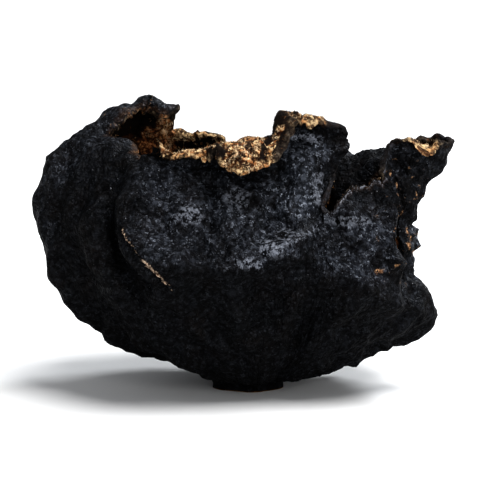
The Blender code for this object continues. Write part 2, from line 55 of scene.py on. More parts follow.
# One profile of the sheet per line, going round the stub from the left wall over the front to the right, then round
# the back. Seven points (x, y, h) from low to the crest, h being the height in that view; then the roll of the margin
# in degrees (+ = inward) and the length that rolls.
PROFILES = [
 # left wall, front part
 ([(-11,-7,4),(-22,-11,10),(-29,-12.5,19),(-31.5,-11,28),(-30,-9,36),(-27,-7.5,40),(-24.5,-6,40.8)], 90, 4),
 ([(-9,-10,3.5),(-18,-15,9),(-24.5,-17,18),(-27,-15.5,27),(-26,-13,33.5),(-23.5,-11.5,36.8),(-21.5,-10.5,38)], 60, 2.5),
 # the crease: low side, high side
 ([(-7.5,-11,3),(-15,-16.5,8.5),(-20.3,-17,17.5),(-23.4,-15,27),(-22.7,-13.5,33.5),(-20.5,-12.5,36.8),(-18.7,-12,37.6)], 30, 2.5),
 ([(-6.5,-11.5,3),(-12.5,-16.1,8.7),(-17,-22.2,19.3),(-21.7,-21,28),(-20,-17,35),(-18,-14.3,38.5),(-16.7,-14.6,39.4)], -70, 3),
 # near rim of the funnel
 ([(-4.5,-12,2.8),(-8.5,-15.5,8.8),(-11.7,-23.5,19.7),(-14.5,-19.6,27),(-14.5,-16.5,34),(-13.8,-13.3,38.4),(-13.4,-15.2,38.7)], -95, 2.2),
 ([(-2.5,-12.3,2.8),(-4.5,-15.7,8.8),(-6.5,-23.7,20.4),(-8.5,-19.4,27.5),(-9.2,-16,34),(-9.4,-13,38.1),(-9.2,-15.1,38.2)], -95, 2.8),
 # lobe folded forward over the face
 ([(-1.5,-12.3,2.8),(-2.5,-15.7,8.8),(-3.5,-23.7,20.9),(-5,-19.3,27.5),(-5.8,-15.5,34.9),(-6.2,-13,39.8),(-6.4,-16.1,39.3)], -80, 5.0),
 ([(-0.5,-12.3,2.8),(-0.7,-15.7,8.8),(-1,-23.5,21.2),(-1.8,-18.8,27.5),(-2,-15,35.2),(-2.4,-12.7,41.0),(-2.7,-16.8,39.8)], -85, 7),
 ([(0.6,-12.3,2.8),(1.1,-15.7,8.8),(1.5,-23.2,21.7),(1,-18.5,28),(1,-14.5,35.8),(0.9,-12.2,40.6),(0.8,-15.5,39.7)], -75, 5.6),
 # curled tip
 ([(1.6,-12.2,2.8),(3,-15.6,8.8),(3.9,-22.9,22.2),(3.8,-18.3,29),(3.9,-14,37),(4.4,-10.8,42.9),(4.7,-12,45.1)], -175, 5.6),
 ([(2.6,-12,2.8),(4.6,-15.5,8.6),(6,-22.3,22.7),(6.3,-18.3,29.5),(6.8,-14,37),(7.6,-10.6,42.5),(8.1,-12,44.3)], -165, 4.6),
 # right edge of the panel, turned back
 ([(3.4,-11.8,2.8),(6,-15.5,8.5),(7.7,-21.8,21.6),(8,-17.8,27.5),(9.2,-13.9,35.1),(10.2,-11.2,39.4),(12.2,-9.9,41.3)], 20, 2.5),
 ([(4,-11.7,2.9),(7,-15.5,8.3),(8.8,-21.2,20.3),(8.8,-18,25),(9.1,-15.3,30.4),(10.2,-12.6,33.6),(12.2,-10.8,36.1)], 10, 2.5),
 ([(4.5,-11.5,3),(7.8,-15.5,8.2),(9.8,-21,18.2),(9.9,-18.9,22.6),(9.8,-17,26.4),(10.3,-15.6,28.8),(10.9,-15,31.2)], 0, 2),
 # bottom of the cleft
 ([(5,-11.3,3),(8.7,-15.7,8.2),(11,-20.5,17.2),(11.6,-19.9,20.2),(11.8,-18.7,23.2),(11.5,-17.8,26.0),(11.2,-17.1,28.2)], 0, 2),
 # right flap
 ([(5.8,-10.9,3),(9.9,-15.5,8.1),(13,-19.9,18),(14.1,-19.4,21.8),(14.4,-18.5,25.6),(14.3,-17.3,28.8),(14,-16.3,31.1)], 0, 2),
 ([(6.9,-10.2,3),(12.1,-14.3,7.9),(16.2,-18.7,17.7),(17.2,-17.9,22.5),(17.3,-16.4,27.0),(17,-14.8,30.6),(16.7,-13.6,33.0)], 0, 2),
 ([(8,-9.3,3.1),(14.5,-13.5,7.5),(20,-16.5,16.3),(21.2,-15.8,22.5),(21.2,-14.5,27.6),(20.7,-13,31.7),(20.2,-12,34.2)], 0, 2),
 # crevice
 ([(8.8,-8.2,3.2),(16,-11.5,7.5),(21.8,-12.4,15),(22.2,-10.6,22),(21.8,-9,29.5),(21.3,-7.4,35.8),(21.0,-6.8,39.2)], 20, 2),
 # horn
 ([(9.6,-6.8,3.3),(17.2,-9.5,7.5),(24.4,-9.6,13),(23.9,-9,22),(23.8,-8.2,29.6),(24.8,-7.2,35.6),(25.7,-6.8,38.2)], -150, 5.4),
 ([(10.5,-4,3.6),(18.8,-5,7.6),(26.6,-5,11.3),(24.0,-5,21),(24.5,-4,29.8),(28.3,-3.8,36.6),(30.1,-4.2,40.2)], 5, 2.8),
 ([(11,-1,4),(20,0,8),(27.2,1.5,12.5),(25.8,3,22),(25.6,3.5,30.5),(26.2,2.6,36.4),(25.6,0.4,38.6)], 110, 4),
 # back wall
 ([(10.5,3.5,4.6),(18.6,7,9.5),(23.6,10,16),(24.9,12.2,24.5),(23.2,11.4,32.5),(20.2,8,37.5),(18,3,37.5)], 130, 11),
 ([(8.5,7,5.2),(15,12.5,10.5),(19,16,17.5),(19.2,17,26),(17.2,15.3,33.5),(15,12.5,38),(13.5,7.5,38)], 130, 11),
 ([(5,9.5,5.5),(9,15.5,10.5),(11.8,20.4,18),(12,22.4,26.5),(10.8,20.5,34),(9.5,16,38.5),(9,12,38.5)], 90, 6),
 ([(0.5,10.5,5.6),(1.5,15.6,10),(2.5,18.6,16),(2.5,18.6,22.5),(2,17.2,28),(1.5,15.6,32),(1.5,14.6,33.5)], 60, 4),
 ([(-3.5,10,5.4),(-6,16,10),(-8,20.8,16.5),(-8.5,23.2,25),(-8.7,21.7,33),(-9.1,18,39.8),(-9.4,15,43.3)], 20, 3),
 ([(-5.5,9,5.2),(-9.5,15,10),(-12.5,19.2,17),(-13,20,26),(-13.2,18.6,34.5),(-14,16,39.6),(-14.6,13.8,41.8)], 20, 2.6),
 # hood
 ([(-7.5,8,5),(-13,13.5,9.5),(-17,17.3,17),(-18.3,18.4,27),(-18.2,14.3,37),(-17.5,8.5,44.8),(-17.3,4.8,47.4)], 185, 6.2),
 ([(-10,5,4.6),(-18,9,9),(-24.5,12,17.5),(-26,13,28),(-24.5,11.5,38),(-20.8,8.5,45.8),(-19.6,4.6,48.4)], 165, 5.5),
 ([(-11.5,1,4.4),(-21,3,8.5),(-30,5,17.5),(-32.6,5.5,28),(-31,5,37),(-26.6,3.5,43.8),(-24.8,0.8,46)], 140, 4.5),
 # left wall
 ([(-11.8,-3,4.3),(-22.5,-4.5,8.8),(-31.8,-4.5,18),(-35.4,-3.5,28),(-34.3,-3.5,36),(-31,-3.5,41.3),(-28,-4,42.4)], 120, 5),
]
# How far each profile stands out at mid height, as a share of its reach: the long folds of the sides and the back.
SWELL = [0.94, 1, 1, 1, 1, 1, 1, 1, 1, 1, 1, 1, 1, 1, 1, 1, 1, 1, 1, 1, 1.0, 0.90,
         1.05, 0.92, 0.92, 1.05, 0.91, 1.03, 0.93, 1.04, 0.90, 1.04]

# Folds of the near side as lines of (x, h) in that view, with how far each stands out (- = in) and its half width.
FOLDS = [
 ([(-21.6,24.7),(-15,21.2),(-8,20.2),(-1.8,20.3),(3.5,21.6),(7.1,22.1),(12.8,20.3),(20.3,15.5),(28.3,11.9)], 1.1, 1.5),
 ([(-19,33.5),(-21.8,29),(-21.6,25.1),(-17.8,20.8),(-14.1,17.2)], 0.9, 0.9),
 ([(-23.2,31),(-23.6,26),(-21,21.5),(-16.5,16.5)], -1.2, 1.1),
 ([(7.6,41),(6.6,36),(5.6,31.5),(4.4,27.8)], 0.7, 1.0),
 ([(0.4,21.8),(4.5,23.9),(8.5,25.5)], 0.8, 1.1),
 ([(8,29.5),(5,27.5),(2,26.8)], -0.8, 1.2),
 ([(-8,36),(-7,31),(-9,26)], -0.7, 1.6),
 ([(-2.5,35),(-0.5,30),(-2,25)], 0.6, 1.3),
 ([(2.8,37),(3,32),(1.8,29)], -0.7, 1.2),
 ([(-14,34),(-13,29),(-15,25)], 0.6, 1.4),
 ([(21.5,33),(20.5,25),(21.5,18),(19.5,13)], 0.9, 1.0),
 ([(23.6,32),(22.8,24),(23.7,17)], -1.2, 1.0),
 ([(-5,17),(-3.5,11),(-2,7)], 0.7, 1.2),
 ([(6,18),(5,12),(3.5,7)], 0.6, 1.2),
 ([(-14,15),(-9.5,10),(-5,7)], 0.7, 1.2),
 ([(16,16),(11,10.5),(7,7)], 0.8, 1.2),
]

# The same for the sides and the back: (way round in mm from the front over the right at 26 mm, z).
BACK_FOLDS = [
 ([(35.5,23.5),(36.5,28)], 1.3, 1.5),
 ([(42,9),(43,18),(41,27)], -1.2, 1.8),
 ([(50,7),(48,17),(51,27),(49,34)], 1.2, 2.0),
 ([(57,7),(56,18),(59,28)], -1.3, 1.8),
 ([(64,8),(66,18),(64,30)], 1.2, 2.0),
 ([(72,6),(73,16),(75,27)], -1.4, 1.8),
 ([(82,7),(80,16),(82,26)], 0.9, 2.0),
 ([(89,6),(91,17),(90,28),(93,38)], -1.4, 1.8),
 ([(98,7),(97,20),(100,34)], 1.2, 2.0),
 ([(105,8),(107,18),(104,30),(106,40)], -1.3, 1.8),
 ([(113,7),(112,20),(115,33),(113,42)], 1.2, 2.2),
 ([(121,7),(123,18),(121,31)], -1.3, 1.8),
 ([(129,9),(128,21),(131,34),(129,40)], 1.0, 2.0),
 ([(136,8),(138,17),(136,27)], -1.0, 1.6),
]


def smooth01(x):
    x = np.clip(x, 0, 1)
    return x * x * (3 - 2 * x)


def unit(v):
    return v / np.maximum(np.linalg.norm(v, axis=-1), 1e-9)[..., None]


def cubic_weights(u, n, ring):
    """Weights (len(u), n) of a smooth curve through n points numbered 0 to n - 1, closed if ring."""
    u = np.asarray(u, float)
    i = np.floor(u).astype(int)
    if not ring:
        i = np.clip(i, 0, n - 2)
    t = (u - i)[:, None]
    w = np.concatenate([-0.5*t**3 + t**2 - 0.5*t, 1.5*t**3 - 2.5*t**2 + 1, -1.5*t**3 + 2*t**2 + 0.5*t, 0.5*t**3 - 0.5*t**2], 1)
    M = np.zeros((len(u), n))
    rows = np.arange(len(u))
    for k in range(4):
        j = i + k - 1
        if ring:
            np.add.at(M, (rows, j % n), w[:, k])
            continue
        for end, step, out in ((0, 1, j < 0), (n - 1, -1, j > n - 1)):
            np.add.at(M, (rows[out], end), 2 * w[out, k])
            np.add.at(M, (rows[out], end + step), -w[out, k])
        ok = (j >= 0) & (j < n)
        np.add.at(M, (rows[ok], j[ok]), w[ok, k])
    return M


rng = np.random.RandomState(7)
PERM = np.tile(rng.permutation(256), 3)
GRAD = unit(rng.normal(size=(256, 3)))


def noise(p):
    """Smooth noise, about -0.6 to 0.6, at points p (..., 3)."""
    p = np.asarray(p, float)
    i = np.floor(p).astype(int)
    f = p - i
    w = f * f * f * (f * (f * 6 - 15) + 10)
    i = i & 255
    out = 0
    for dx in (0, 1):
        for dy in (0, 1):
            for dz in (0, 1):
                g = GRAD[PERM[PERM[PERM[(i[..., 0] + dx) & 255] + ((i[..., 1] + dy) & 255)] + ((i[..., 2] + dz) & 255)]]
                k = abs(1 - dx - w[..., 0]) * abs(1 - dy - w[..., 1]) * abs(1 - dz - w[..., 2])
                out = out + k * (g * (f - np.array([dx, dy, dz]))).sum(-1)
    return out


def normals(P):
    """Unit normals of a grid (around, along, 3); they point to the black outer side."""
    du = np.roll(P, -1, 0) - np.roll(P, 1, 0)
    dv = np.gradient(P, axis=1)
    return unit(np.cross(du, dv))


def lines(x, y, drawn, wob):
    """How far the drawn lines stand out at the points (x, y): sharp on the crest, soft on the flanks."""
    d = 0
    for line, height, width in drawn:
        a = np.array(line, float)
        best, along_ = np.full(x.shape, 1e9), np.zeros(x.shape)
        for k in range(len(a) - 1):
            ax, ay, bx, by = *a[k], *a[k + 1]
            ln2 = (bx - ax) ** 2 + (by - ay) ** 2
            t = np.clip(((x - ax) * (bx - ax) + (y - ay) * (by - ay)) / ln2, 0, 1)
            r = np.hypot(x - ax - t * (bx - ax), y - ay - t * (by - ay))
            near = r < best
            best, along_ = np.where(near, r, best), np.where(near, (k + t) / (len(a) - 1), along_)
        fade = smooth01(along_ / 0.2 + 0.25) * smooth01((1 - along_) / 0.2 + 0.25)
        d = d + height * fade * (1 + wob) * np.exp(-np.abs(best / width) ** 1.4)
    return d


def folds(P):
    """How far the drawn folds stand out at P."""
    x, h = P[..., 0] - SHIFT[0], P[..., 2] * VIEW_COS + (P[..., 1] - SHIFT[1]) * VIEW_SIN
    d = lines(x, h, FOLDS, 0.5 * noise(P / 4.0 + 33.0)) * smooth01((-2 - P[..., 1]) / 6)
    # the sides and the back: lengths round the body at 26 mm from its middle
    turn = np.arctan2(P[..., 0], -P[..., 1])
    turn = np.where(turn < 0, turn + 2 * np.pi, turn)
    wander = 1.6 * noise(P / 9.0 + 63.0)
    back = lines(26 * turn + wander, P[..., 2] + wander, BACK_FOLDS, 0.6 * noise(P / 6.0 + 73.0))
    return d + back * smooth01((P[..., 1] + 9) / 6 + (np.abs(P[..., 0]) > 24))


def crumple(P, s):
    """How far the dried sheet stands out from its drawn shape: broad dents between sharper ridges."""
    warp = P + 3.0 * np.stack([noise(P / 9 + k) for k in (31, 47, 59)], 2)
    ridges = 1 - 3.2 * np.abs(noise(warp / 11 + 12.3))
    small = 1 - 3.2 * np.abs(noise(warp / 5.5 + 21.9))
    d = 1.6 * noise(P / 13 + 1.3) + 1.15 * ridges + 0.7 * small + 0.25 * noise(P / 3 + 8.2) - 1.05
    # long folds run up the back and the left side, which the drawn profiles leave plain
    az = np.arctan2(P[..., 0], -P[..., 1])
    back = smooth01((np.abs(az + 0.35) - 1.0) / 0.7)
    long_ = 0.5 - 3 * np.abs(noise(np.stack([3.4 * np.sin(az), 3.4 * np.cos(az), s / 38], -1) + 5.5))
    d = d + back * smooth01((s - 10) / 16) * 2.2 * np.maximum(long_, -0.9)
    # pleats spread from the stub
    pleats = 1 - 3.4 * np.abs(noise(np.stack([2.3 * np.sin(az), 2.3 * np.cos(az), s / 26], -1) + 15.5))
    pleats = pleats * smooth01((s - 2) / 9) * (0.35 + 0.65 * smooth01((34 - s) / 16))
    # little of either beside the cleft, whose two sides almost touch
    h = P[..., 2] * VIEW_COS + P[..., 1] * VIEW_SIN
    gap = 1 - np.exp(-((P[..., 0] - SHIFT[0] - 11.5) / 5.0) ** 4 - ((h - 31) / 12) ** 4) * (P[..., 1] < -4)
    return d * smooth01(s / 18) * (0.7 + 0.3 * gap) + gap * (1.7 * folds(P) * smooth01(s / 8) + pleats)


def sheet(around, along, fine=False):
    """The middle of the sheet as a grid (around, along, 3), the length along each profile, and those lengths."""
    n = len(PROFILES)
    pts = np.zeros((n, 8, 3))
    for i, (rows, _, _) in enumerate(PROFILES):
        a = np.array(rows, float)
        a[:, 2] = (a[:, 2] - VIEW_SIN * a[:, 1]) / VIEW_COS
        az = np.arctan2(a[0, 1], a[0, 0])
        reach = NECK_RADIUS * (1 + 0.10 * np.cos(2 * az + 0.4) + 0.05 * np.cos(5 * az + 1.0))
        pts[i, 0] = (reach * np.cos(az), reach * np.sin(az), NECK_HEIGHT)
        swell = 1 + (SWELL[i] - 1) * np.array([0.5, 0.9, 1, 1, 0.9, 0.6, 0.4])
        a[:, :2] *= swell[:, None]
        a[:, :2] += SHIFT
        pts[i, 1:] = a
    u = np.arange(around) / around * n
    Mu = cubic_weights(u, n, True)
    Mv = cubic_weights(np.linspace(0, 7, 71), 8, False)
    S = np.einsum("ai,bj,ijk->abk", Mu, Mv, pts)
    roll = np.radians(Mu @ np.array([p[1] for p in PROFILES], float))
    length = np.maximum(Mu @ np.array([p[2] for p in PROFILES], float), 1.0)
    # the margin rolls on from the profile's last direction
    T = unit(S[:, -1] - S[:, -4])
    N = normals(S)[:, -1]
    inward = -unit(N - (N * T).sum(1)[:, None] * T)
    k = 24
    x = (np.arange(k) + 0.5) / k
    phi = roll[:, None] * (0.55 * x + 0.45 * x * x)
    d = np.cos(phi)[..., None] * T[:, None] + np.sin(phi)[..., None] * inward[:, None]
    S = np.concatenate([S, S[:, -1:] + np.cumsum(d * (length / k)[:, None, None], 1)], 1)
    arc = np.concatenate([np.zeros((around, 1)), np.cumsum(np.linalg.norm(np.diff(S, axis=1), axis=2), 1)], 1)
    # the margin is ragged
    ang = u / n * 2 * np.pi
    ring = 30 * np.stack([np.cos(ang), np.sin(ang), 0 * ang], 1)
    L = np.minimum(arc[:, -1] - 1.2 + 1.4 * noise(ring / 4 + 3.1) + 0.9 * noise(ring / 1.9 + 9.7), arc[:, -1])
    if fine:
        tear = np.clip(noise(ring / 1.3 + 5.5) - 0.30, 0, 1) * 6.5
        L = L + 0.7 * noise(ring / 0.8 + 2.2) + 0.4 * noise(ring / 0.4 + 8.8) - tear
        L = np.minimum(L, arc[:, -1])
    t = 1 - (1 - np.linspace(0, 1, along)) ** 1.25
    s = t[None] * L[:, None]
    P = np.stack([np.stack([np.interp(s[i], arc[i], S[i, :, c]) for c in range(3)], 1) for i in range(around)], 0)
    P = P + normals(P) * crumple(P, s)[..., None]
    return P, s, L


def relax(P, passes):
    """Evens out kinks finer than the mesh, with the stub's ring and the margin kept."""
    for _ in range(passes):
        Q = 0.5 * P + 0.25 * (np.roll(P, 1, 0) + np.roll(P, -1, 0))
        Q[:, 1:-1] = 0.5 * Q[:, 1:-1] + 0.25 * (Q[:, 2:] + Q[:, :-2])
        Q[:, 0] = P[:, 0]
        P = Q
    return P


def soft_normals(P, passes=2):
    N = normals(P)
    for _ in range(passes):
        N = 0.5 * N + 0.25 * (np.roll(N, 1, 0) + np.roll(N, -1, 0))
        N[:, 1:-1] = 0.5 * N[:, 1:-1] + 0.25 * (N[:, 2:] + N[:, :-2])
        N = unit(N)
    # close to the stub every profile leans the same way
    mean = unit(P[:, :1] * [1, 1, 0]) * 0.45 + [0, 0, -1]
    N[:, :3] = unit(N[:, :3] * np.array([0, 0.4, 0.75])[None, :, None] + unit(mean) * np.array([1, 0.6, 0.25])[None, :, None])
    return N


def wall(s, L):
    w = (WALL + WALL_AT_STUB * np.exp(-s / 9)) * (MARGIN_THIN + (1 - MARGIN_THIN) * smooth01((L[:, None] - s) / 9))
    # drier and thinner where the cleft pulls it tight
    u = np.arange(len(s)) / len(s) * len(PROFILES)
    return w * (1 - 0.34 * np.exp(-((u - 12.2) / 1.0) ** 2) * smooth01((s - 15) / 10).T).T


# ---- fine shape ----

def fine_grid():
    """The sheet's middle, its offset direction and half wall on the fine grid."""
    P, s, L = sheet(AROUND, ALONG, fine=True)
    C, cs, cl = sheet(CAD_AROUND, CAD_ALONG)
    Nc = soft_normals(relax(C, 1))
    # the coarse directions, spread smoothly over the fine grid
    Mu = cubic_weights(np.arange(AROUND) / AROUND * CAD_AROUND, CAD_AROUND, True)
    Mv = cubic_weights(np.linspace(0, CAD_ALONG - 1, ALONG), CAD_ALONG, False)
    N = unit(np.einsum("ai,bj,ijk->abk", Mu, Mv, Nc))
    half = wall(s, L) / 2
    return P, N, s, L, half


def ridged(p):
    return 1 - 3.0 * np.abs(noise(p))


def grid_object(name, grid, attrs, flip=False, close=None):
    """A mesh over a grid that is closed in its first direction."""
    nu, ns = grid.shape[:2]
    idx = np.arange(nu * ns).reshape(nu, ns)
    nxt = np.roll(idx, -1, 0)
    quads = np.stack([idx[:, :-1], idx[:, 1:], nxt[:, 1:], nxt[:, :-1]], -1).reshape(-1, 4)
    if flip:
        quads = quads[:, ::-1]
    verts = grid.reshape(-1, 3)
    loops = quads.ravel()
    starts = np.arange(len(quads)) * 4
    if close is not None:
        # fans that close an end: (column, point)
        for col, point, turn in close:
            ring = idx[:, col]
            c = len(verts)
            verts = np.concatenate([verts, np.array(point, float)[None]], 0)
            tri = np.stack([np.full(nu, c), ring, np.roll(ring, -1)], 1)
            if turn:
                tri = tri[:, ::-1]
            starts = np.concatenate([starts, len(loops) + np.arange(nu) * 3])
            loops = np.concatenate([loops, tri.ravel()])
            attrs = {k: np.concatenate([v, [v.reshape(nu, -1)[:, col].mean()]]) if v.ndim == 1 else v for k, v in attrs.items()}
    me = bpy.data.meshes.new(name)
    me.vertices.add(len(verts))
    me.vertices.foreach_set("co", (verts * MM).astype(np.float32).ravel())
    me.loops.add(len(loops))
    me.loops.foreach_set("vertex_index", loops.astype(np.int32))
    me.polygons.add(len(starts))
    me.polygons.foreach_set("loop_start", starts.astype(np.int32))
    me.update(calc_edges=True)
    me.validate()
    for k, v in attrs.items():
        a = me.attributes.new(k, "FLOAT", "POINT")
        a.data.foreach_set("value", np.asarray(v, np.float32).ravel())
    me.shade_smooth()
    ob = bpy.data.objects.new(name, me)
    bpy.context.scene.collection.objects.link(ob)
    return ob


def fibres(name, roots, out, length, width, bend, tint, seed):
    """Short flat fibres as one mesh: a quad and a tip each."""
    r = np.random.RandomState(seed)
    n = len(roots)
    side = unit(np.cross(out, unit(r.normal(size=(n, 3)))))
    lean = unit(r.normal(size=(n, 3)))
    lean = unit(lean - (lean * out).sum(1)[:, None] * out * 0.6)
    dir1 = unit(out + bend[:, None] * 0.6 * lean)
    dir2 = unit(out * 0.4 + bend[:, None] * 1.3 * lean + 0.5 * unit(r.normal(size=(n, 3))))
    a = roots - out * 0.05
    mid = a + dir1 * (length * 0.5)[:, None]
    tip = mid + dir2 * (length * 0.6)[:, None]
    w = width[:, None] * 0.5
    V = np.stack([a - side * w, a + side * w, mid + side * w * 0.8, mid - side * w * 0.8, tip], 1)
    base = (np.arange(n) * 5)[:, None]
    quad = base + np.array([[0, 1, 2, 3]])
    tri = base + np.array([[3, 2, 4]])
    loops = np.concatenate([quad, tri], 1).ravel()
    starts = (np.arange(n) * 7)[:, None] + np.array([[0, 4]])
    me = bpy.data.meshes.new(name)
    me.vertices.add(n * 5)
    me.vertices.foreach_set("co", (V.reshape(-1, 3) * MM).astype(np.float32).ravel())
    me.loops.add(len(loops))
    me.loops.foreach_set("vertex_index", loops.astype(np.int32))
    me.polygons.add(n * 2)
    me.polygons.foreach_set("loop_start", starts.ravel().astype(np.int32))
    me.update(calc_edges=True)
    t = me.attributes.new("tint", "FLOAT", "POINT")
    t.data.foreach_set("value", np.repeat(tint, 5).astype(np.float32))
    me.shade_smooth()
    ob = bpy.data.objects.new(name, me)
    bpy.context.scene.collection.objects.link(ob)
    return ob


P, N, s, L, half = fine_grid()
edge = L[:, None] - s                     # how far from the margin, mm
station = np.arange(AROUND) / AROUND * len(PROFILES)
# the curled tip stays round
curl = np.exp(-((station - 9.2) / 0.32) ** 2)[:, None] * np.exp(-((edge - 1.4) / 1.8) ** 2)
P = P - curl[..., None] * [0, 0, 0.75]
view_x = P[..., 0] - SHIFT[0]
view_h = P[..., 2] * VIEW_COS + (P[..., 1] - SHIFT[1]) * VIEW_SIN
az = np.arctan2(P[..., 0], -P[..., 1])


def along_stations(values):
    """A value per profile, spread smoothly round the margin."""
    return np.clip(cubic_weights(station, len(PROFILES), True) @ np.array(values, float), 0, 1)


# how pale the torn edge is, and how far the tan side is worn over it
PALE = [0.25, 0.4, 0.6, 0.9, 1, 1, 1, 1, 1, 0.95, 0.6, 0.0, 0.0, 0.0, 0.0, 0.1, 0.1, 0.1, 0.0, 0.9, 0.0,
        0.3, 0.4, 0.25, 0.3, 0.5, 0.95, 1.0, 0.3, 0.35, 0.3, 0.25]
pale = along_stations(PALE)
pale = np.clip(pale + 0.45 * smooth01(pale / 0.2) * noise(np.stack([station / 0.7, station * 0, station * 0], -1) + 4.4), 0, 1)
past_tip = smooth01((view_x[:, -1] - 10.2) / 0.8) * (np.abs(station - 11.5) < 2.5)
pale = pale * (1 - past_tip)
# where the felt is dark: beside the cleft, in the hood, on the horn's point
FELT = [0.7, 0.9, 1, 1, 1, 1, 1, 1, 1, 1, 0.8, 0.15, 0.05, 0.1, 0.1, 0.1, 0.1, 0.05, 0.1, 1, 0.3,
        0.2, 0.3, 0.35, 0.6, 0.9, 1, 0.9, 0.35, 0.5, 0.5, 0.6]
tanned = along_stations(FELT)[:, None] * (1 - 0.9 * past_tip[:, None]) + 0 * s


def patch_at(x, h, rx, rh, wave=1.0):
    """1 inside an uneven oval of the near side, 0 outside."""
    r_ = np.hypot((view_x - x) / rx, (view_h - h) / rh) + 0.5 * noise(P / wave + 17)
    return smooth01((1.25 - r_) / 0.5)


# painted shade in hollows of the felt: left of the lobe, right of it, and under the curled tip
near_side = smooth01((-6 - P[..., 1]) / 2)
for spot_ in [(-6.9, 38.3, 1.5, 1.5), (4.3, 44.1, 2.5, 1.3), (2.4, 43.2, 0.8, 1.0)]:
    tanned = np.minimum(tanned, 1 - patch_at(*spot_) * near_side)
# between the lobe and the tip only a narrow line stays tan
strip = [(1.4, 37.4), (1.9, 39.2), (2.6, 40.6), (3.4, 42.0), (3.9, 43.4), (4.1, 46.0)]
line_x = np.interp(view_h, [b for _, b in strip], [a for a, _ in strip]) + 0.5 * noise(P / 1.1 + 23)
beside = smooth01((np.abs(view_x - line_x) - 0.35) / 0.35)
zone = smooth01((view_x - line_x + 1.9) / 0.5) * smooth01((line_x + 3.6 - view_x) / 0.8) * smooth01((view_h - 36.6) / 1.0) * smooth01((43.6 - view_h) / 0.8)
tanned = np.minimum(tanned, 1 - beside * zone * near_side)
# the horn is tan on its curl only
for spot_ in [(22.4, 41.0, 1.8, 3.0), (32.4, 41.0, 3.0, 3.0)]:
    tanned = np.minimum(tanned, 1 - patch_at(*spot_))
# painted shade, black: under the hood's roof and where the back wall shows through the cleft
roof = smooth01((view_h - 42.8 - 0.44 * (view_x + 22.4) + 0.9 * noise(P / 1.3 + 29)) / 0.9) * smooth01((-15.3 - view_x) / 0.8) * smooth01((P[..., 1] + 9) / 2)
tanned = np.minimum(tanned, 1 - roof * smooth01((edge - 0.5) / 0.8))
tanned = np.minimum(tanned, 1 - patch_at(15.0, 34.5, 6.0, 4.5) * smooth01((P[..., 1] - 1) / 3))
# the hood's right corner is black
tanned = np.minimum(tanned, 1 - patch_at(-14.6, 46.2, 1.7, 1.7) * smooth01((3.5 - edge) / 1.5))
# painted shade, black: behind the near rim, below the far margin
tanned = np.minimum(tanned, 1 - patch_at(-10.6, 40.4, 5.0, 2.6) * smooth01((P[..., 1] - 2) / 3) * smooth01((edge - 0.7) / 0.5))
pale = np.minimum(pale, 0.1 + 1.2 * tanned[:, -1])
# reddish felt low in the hood, painted paler than it is so that it reads lit: painted light; and how fast the felt goes
# dark below the margin, which is painted shade on the back wall and in the hood
lit_red_felt = np.maximum(patch_at(-18.0, 41.4, 3.0, 3.2), patch_at(-16.4, 42.6, 1.6, 3.4)) * smooth01((P[..., 1] + 12) / 3)
tanned = np.maximum(tanned, lit_red_felt)
FAST = [0, 0, 0, 0, 0, 0, 0, 0, 0, 0, 0, 0, 0, 0, 0, 0, 0, 0, 0, 0, 0, 0, 0.4, 0.7, 1, 1, 1, 1, 0.6, 0.3, 0.2, 0]
fast = along_stations(FAST)[:, None]

# the crumbled fold below the horn
column = smooth01(1.6 - np.abs(view_x - 22.9) / 3.2) * smooth01(1.5 - np.abs(view_h - 28.0) / 8.5) * smooth01((-3 - P[..., 1]) / 2)

# single bright flecks there and beside it
fleck = np.maximum.reduce([patch_at(x_, h_, rx_, rh_, 0.6) for x_, h_, rx_, rh_ in [
    (18.9, 19.7, 0.42, 0.26), (23.9, 26.4, 0.2, 0.42), (24.3, 25.0, 0.26, 0.24), (24.0, 23.8, 0.18, 0.5), (24.6, 22.6, 0.26, 0.3),
    (22.0, 33.9, 0.16, 0.5), (22.5, 32.2, 0.2, 0.22), (21.0, 35.4, 0.2, 0.25), (23.2, 29.4, 0.2, 0.3)]]) * smooth01((-3 - P[..., 1]) / 2)

# where the grey bloom and its painted sheen lie: thick on the face's panel, the flap and the tip, where the light
# falls, thin left of the crease, where shade falls
def spot(x, h, rx, rh):
    return smooth01(1.6 - np.hypot((view_x - x) / rx, (view_h - h) / rh)) * front


front = smooth01((-5 - P[..., 1]) / 4)
bloom_and_sheen = np.maximum.reduce([0.5 * spot(-11, 29, 9, 8), 0.95 * spot(0, 27, 10, 6.5), 0.65 * spot(15, 24, 6, 6), spot(7.5, 38, 4, 5), 0.14 * spot(23, 17, 6, 5),
                           0.05 * front])
bloom_and_sheen = bloom_and_sheen * front + 0.6 * (1 - front)
bloom_and_sheen = np.clip(bloom_and_sheen * (1.0 + 1.1 * noise(P / 7 + 35)), 0, 1)
# little of it on the left flank: painted shade
bloom_and_sheen = bloom_and_sheen * (1 - 0.5 * smooth01((-17.5 - view_x) / 3.5) * smooth01((3 - P[..., 1]) / 5))
# painted highlights on the skin, in small patches
painted_glint = np.maximum.reduce([1.15 * patch_at(7.4, 41.4, 2.2, 1.1, 1.3), 0.75 * patch_at(1.8, 23.2, 2.0, 1.3, 1.3), 0.6 * patch_at(-1.7, 21.0, 1.8, 0.9, 1.3),
                           0.6 * patch_at(4.2, 25.2, 1.6, 1.0, 1.3), 0.6 * patch_at(-11.3, 28.5, 2.2, 1.6, 1.3), 0.5 * patch_at(9.0, 33.0, 1.0, 3.0, 1.3),
                           0.5 * patch_at(14.5, 27.6, 3.0, 0.8, 1.3), 0.45 * patch_at(-4.0, 31.0, 2.0, 2.0, 1.3)]) * front
